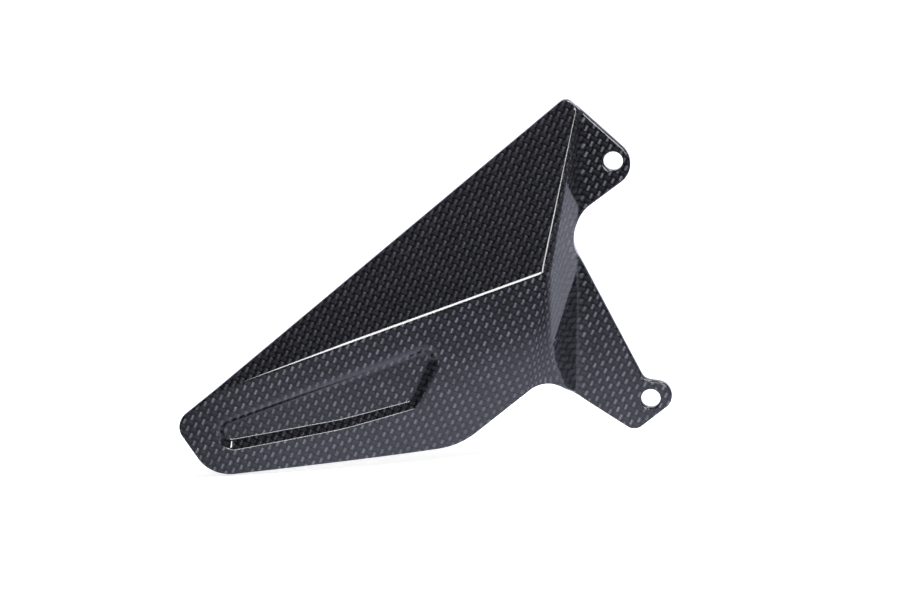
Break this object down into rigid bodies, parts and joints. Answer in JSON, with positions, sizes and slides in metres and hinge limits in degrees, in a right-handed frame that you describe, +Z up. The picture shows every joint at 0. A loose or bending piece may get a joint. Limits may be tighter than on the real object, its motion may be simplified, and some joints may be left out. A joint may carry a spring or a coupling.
{
  "type": "heel guard",
  "caption": "Moulded carbon-fibre heel guard: a folded sheet with a recessed lower panel, stepping down to a flat flange with bolt tabs.",
  "frame": {"origin": "axis of the upper bolt hole at the back face of the mounting flange", "axes": "+X along the vehicle toward the end with the tabs, +Y inward through the flange to the frame it is bolted on, +Z up"},
  "size_m": [0.1619, 0.0416, 0.1194],
  "materials": {
    "carbon": "clear gloss coat over plain-weave carbon fibre"
  },
  "bodies": {
    "root": {"heel_guard": "carbon"}
  },
  "joints": []
}
